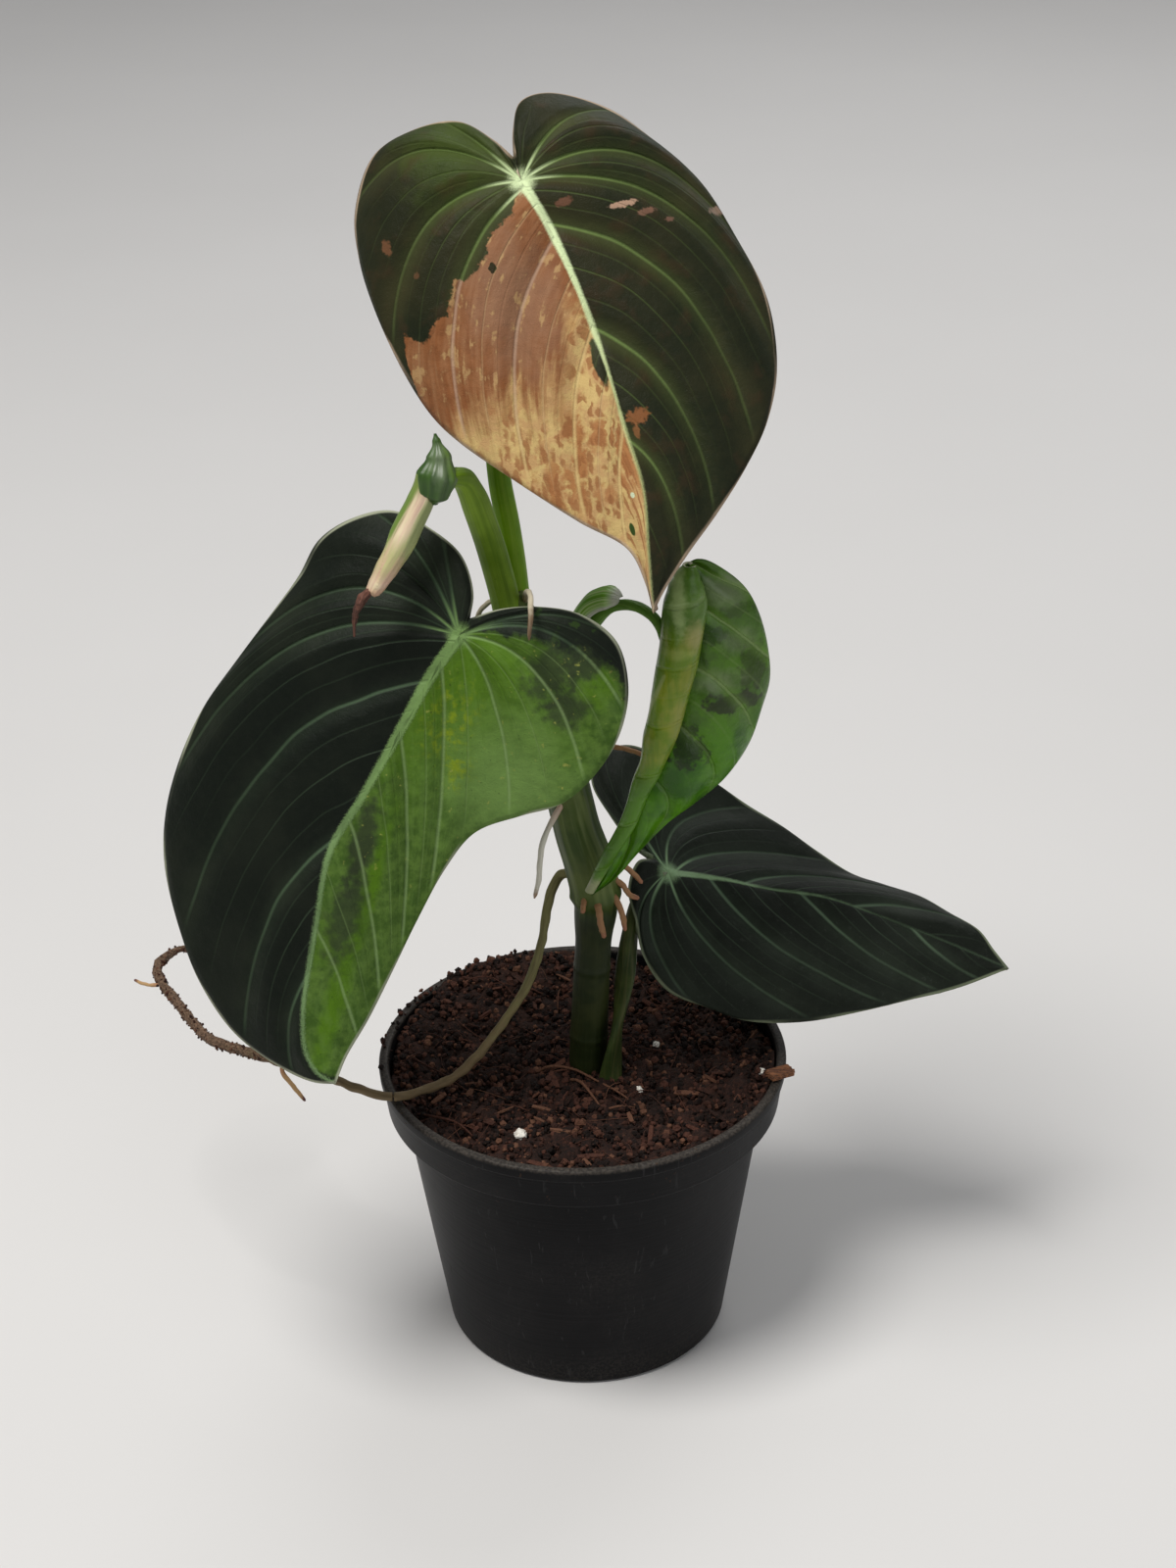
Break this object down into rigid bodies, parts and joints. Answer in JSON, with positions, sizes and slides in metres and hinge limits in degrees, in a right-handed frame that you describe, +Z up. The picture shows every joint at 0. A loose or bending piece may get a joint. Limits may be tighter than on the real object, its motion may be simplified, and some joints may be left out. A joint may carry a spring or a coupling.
{
  "type": "potted black gold philodendron",
  "caption": "Young variegated velvet-leaved climbing aroid in a black plastic nursery pot, with heart-shaped leaves, an unrolling leaf and aerial roots.",
  "frame": {"origin": "middle of the flat underside of the pot, on the surface it stands on", "axes": "+Z up, -Y towards the viewer of the picture, +X to the right"},
  "size_m": [0.2634, 0.1209, 0.3712],
  "materials": {
    "pot_plastic": "satin moulded black with scuffs",
    "soil_mix": "damp coir and peat, matt",
    "perlite": "matt, porous",
    "bark": "matt, fibrous",
    "stem_green": "waxy, ribbed",
    "petiole_green": "waxy, faintly striped",
    "leaf_velvet": "velvety, with pale sunken veins and cream and copper variegation",
    "leaf_young": "glossy, swollen between the veins",
    "leaf_new": "smooth, pink and green",
    "root_brown": "dry, matt",
    "root_pale": "waxy"
  },
  "bodies": {
    "root": {"pot": "pot_plastic", "soil": "soil_mix", "perlite_1": "perlite", "perlite_2": "perlite", "perlite_3": "perlite", "perlite_4": "perlite", "bark_chip": "bark", "stem": "stem_green", "petiole_top": "petiole_green", "petiole_new": "petiole_green", "petiole_front": "petiole_green", "petiole_young": "petiole_green", "petiole_back": "petiole_green", "leaf_top": "leaf_velvet", "leaf_front": "leaf_velvet", "leaf_back": "leaf_velvet", "leaf_young": "leaf_young", "leaf_new": "leaf_new", "aerial_root": "root_brown", "root_low_1": "root_brown", "root_low_2": "root_brown", "root_low_3": "root_brown", "root_low_4": "root_brown", "root_low_5": "root_brown", "root_white": "root_pale", "root_high_1": "root_brown", "root_high_2": "root_brown", "root_thin": "root_brown"}
  },
  "joints": []
}
